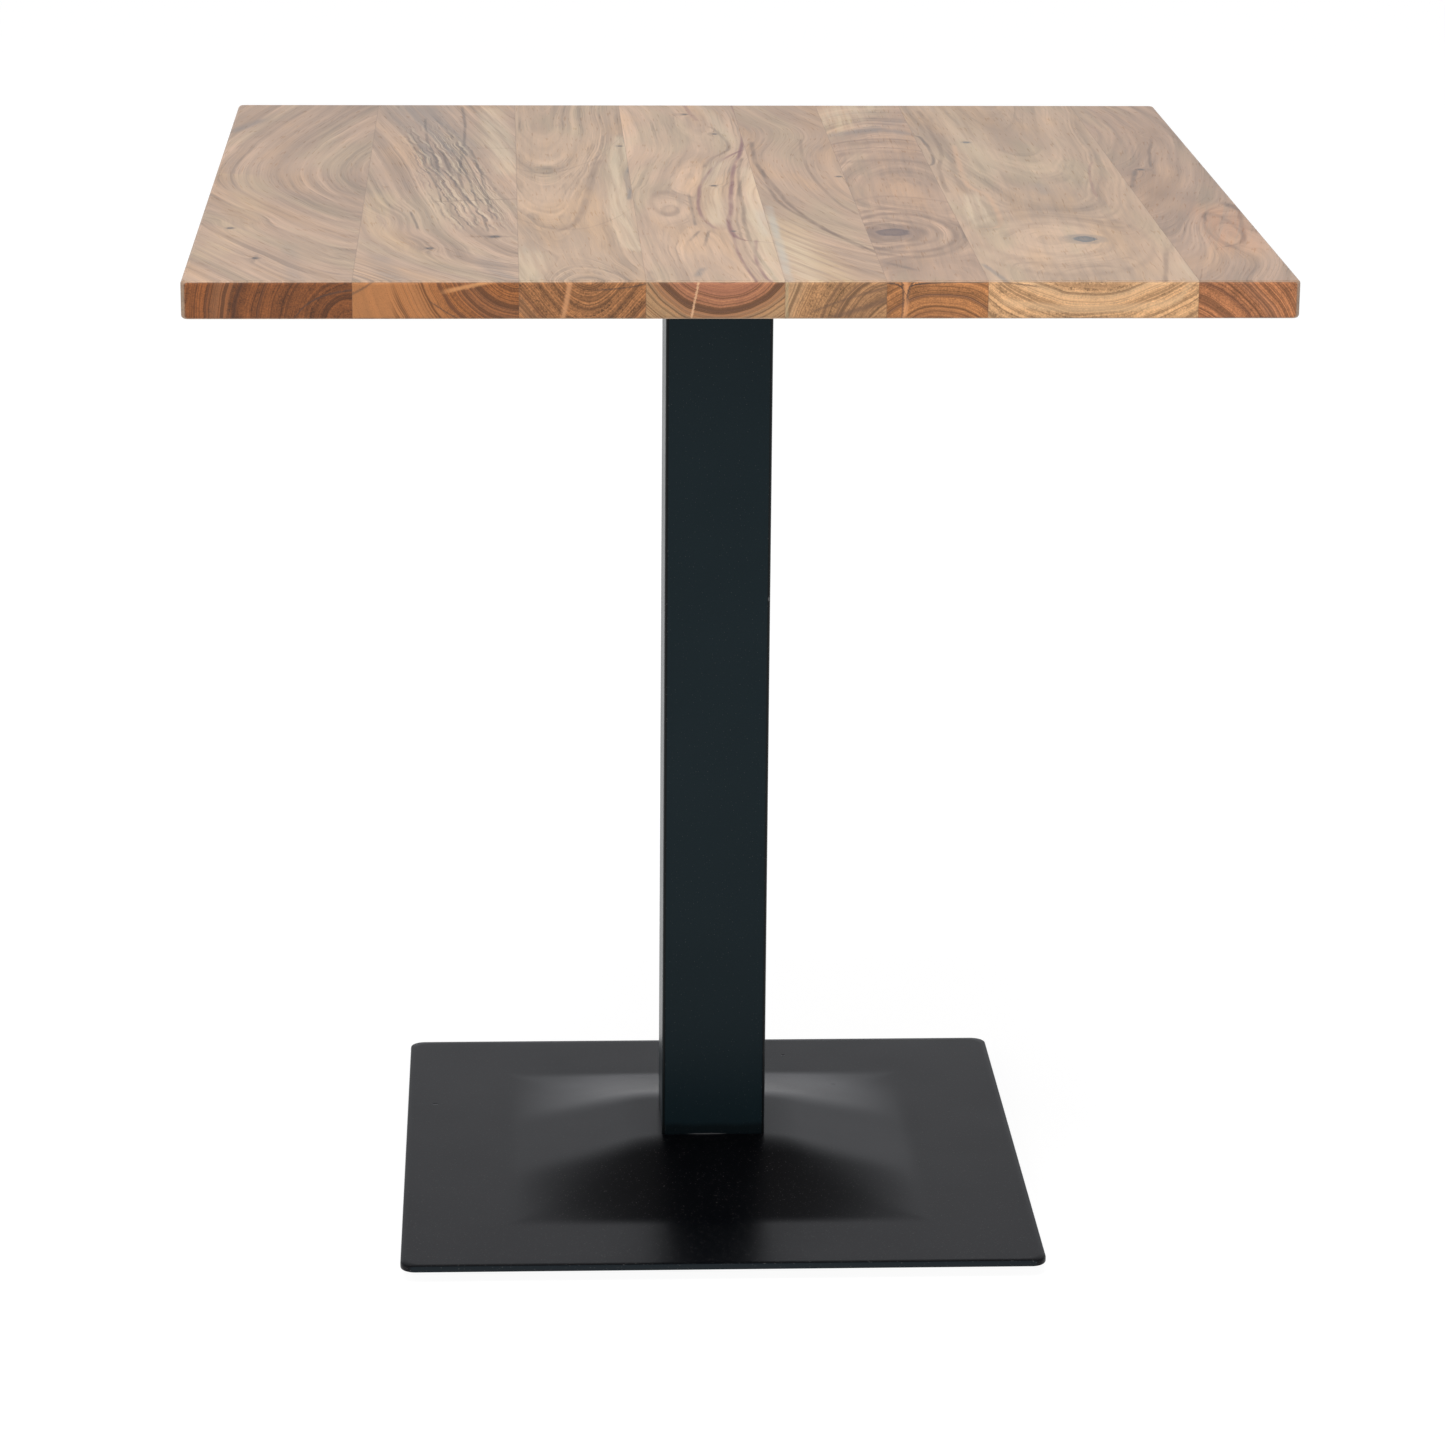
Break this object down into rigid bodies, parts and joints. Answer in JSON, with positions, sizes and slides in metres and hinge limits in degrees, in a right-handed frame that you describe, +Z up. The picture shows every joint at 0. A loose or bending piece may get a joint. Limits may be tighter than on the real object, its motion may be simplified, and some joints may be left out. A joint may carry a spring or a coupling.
{
  "type": "bistro table",
  "caption": "Square bistro table: solid wood top glued from staves on a square steel column, with a raised-centre steel base plate and screw-in levelling feet.",
  "frame": {"origin": "centre of the footprint at floor level, with the levelling feet fully screwed in", "axes": "+Z up, +X to the right and the front of the table towards -Y; the staves of the top run along Y"},
  "size_m": [0.75, 0.75, 0.778],
  "materials": {
    "oiled_acacia": "solid acacia with satin clear lacquer",
    "black_powder_coat": "fine satin black powder coat",
    "zinc_plated_steel": "bright zinc plate",
    "brass": "turned brass",
    "black_nylon": "moulded nylon"
  },
  "bodies": {
    "table": {"top_stave_1": "oiled_acacia", "top_stave_2": "oiled_acacia", "top_stave_3": "oiled_acacia", "top_stave_4": "oiled_acacia", "top_stave_5": "oiled_acacia", "top_stave_6": "oiled_acacia", "top_stave_7": "oiled_acacia", "top_stave_8": "oiled_acacia", "mounting_plate": "black_powder_coat", "column_tube": "black_powder_coat", "base_plate": "black_powder_coat", "column_foot_plate": "black_powder_coat", "foot_bosses": "black_powder_coat", "insert_nuts": "brass", "top_screws": "zinc_plated_steel", "top_washers": "zinc_plated_steel", "base_bolts": "zinc_plated_steel", "base_lock_washers": "zinc_plated_steel", "base_washers": "zinc_plated_steel"},
    "foot_1_stud": {"foot_stud_1": "zinc_plated_steel"},
    "foot_1_pad": {"foot_pad_1": "black_nylon"},
    "foot_2_stud": {"foot_stud_2": "zinc_plated_steel"},
    "foot_2_pad": {"foot_pad_2": "black_nylon"},
    "foot_3_stud": {"foot_stud_3": "zinc_plated_steel"},
    "foot_3_pad": {"foot_pad_3": "black_nylon"},
    "foot_4_stud": {"foot_stud_4": "zinc_plated_steel"},
    "foot_4_pad": {"foot_pad_4": "black_nylon"}
  },
  "joints": [
    {"name": "foot_1_advance", "type": "slide", "parent": "table", "child": "foot_1_stud", "axis": [0, 0, -1], "range_m": [0, 0.00501]},
    {"name": "foot_1_turn", "type": "hinge", "parent": "foot_1_stud", "child": "foot_1_pad", "pos_m": [-0.19, -0.19, 0], "axis": [0, 0, -1], "range_deg": [0, 1440]},
    {"name": "foot_2_advance", "type": "slide", "parent": "table", "child": "foot_2_stud", "axis": [0, 0, -1], "range_m": [0, 0.00501]},
    {"name": "foot_2_turn", "type": "hinge", "parent": "foot_2_stud", "child": "foot_2_pad", "pos_m": [0.19, -0.19, 0], "axis": [0, 0, -1], "range_deg": [0, 1440]},
    {"name": "foot_3_advance", "type": "slide", "parent": "table", "child": "foot_3_stud", "axis": [0, 0, -1], "range_m": [0, 0.00501]},
    {"name": "foot_3_turn", "type": "hinge", "parent": "foot_3_stud", "child": "foot_3_pad", "pos_m": [0.19, 0.19, 0], "axis": [0, 0, -1], "range_deg": [0, 1440]},
    {"name": "foot_4_advance", "type": "slide", "parent": "table", "child": "foot_4_stud", "axis": [0, 0, -1], "range_m": [0, 0.00501]},
    {"name": "foot_4_turn", "type": "hinge", "parent": "foot_4_stud", "child": "foot_4_pad", "pos_m": [-0.19, 0.19, 0], "axis": [0, 0, -1], "range_deg": [0, 1440]}
  ],
  "couplings": [
    {"joint": "foot_1_advance", "follows": "foot_1_turn", "m_per_rad": 0.00019894},
    {"joint": "foot_2_advance", "follows": "foot_2_turn", "m_per_rad": 0.00019894},
    {"joint": "foot_3_advance", "follows": "foot_3_turn", "m_per_rad": 0.00019894},
    {"joint": "foot_4_advance", "follows": "foot_4_turn", "m_per_rad": 0.00019894}
  ]
}
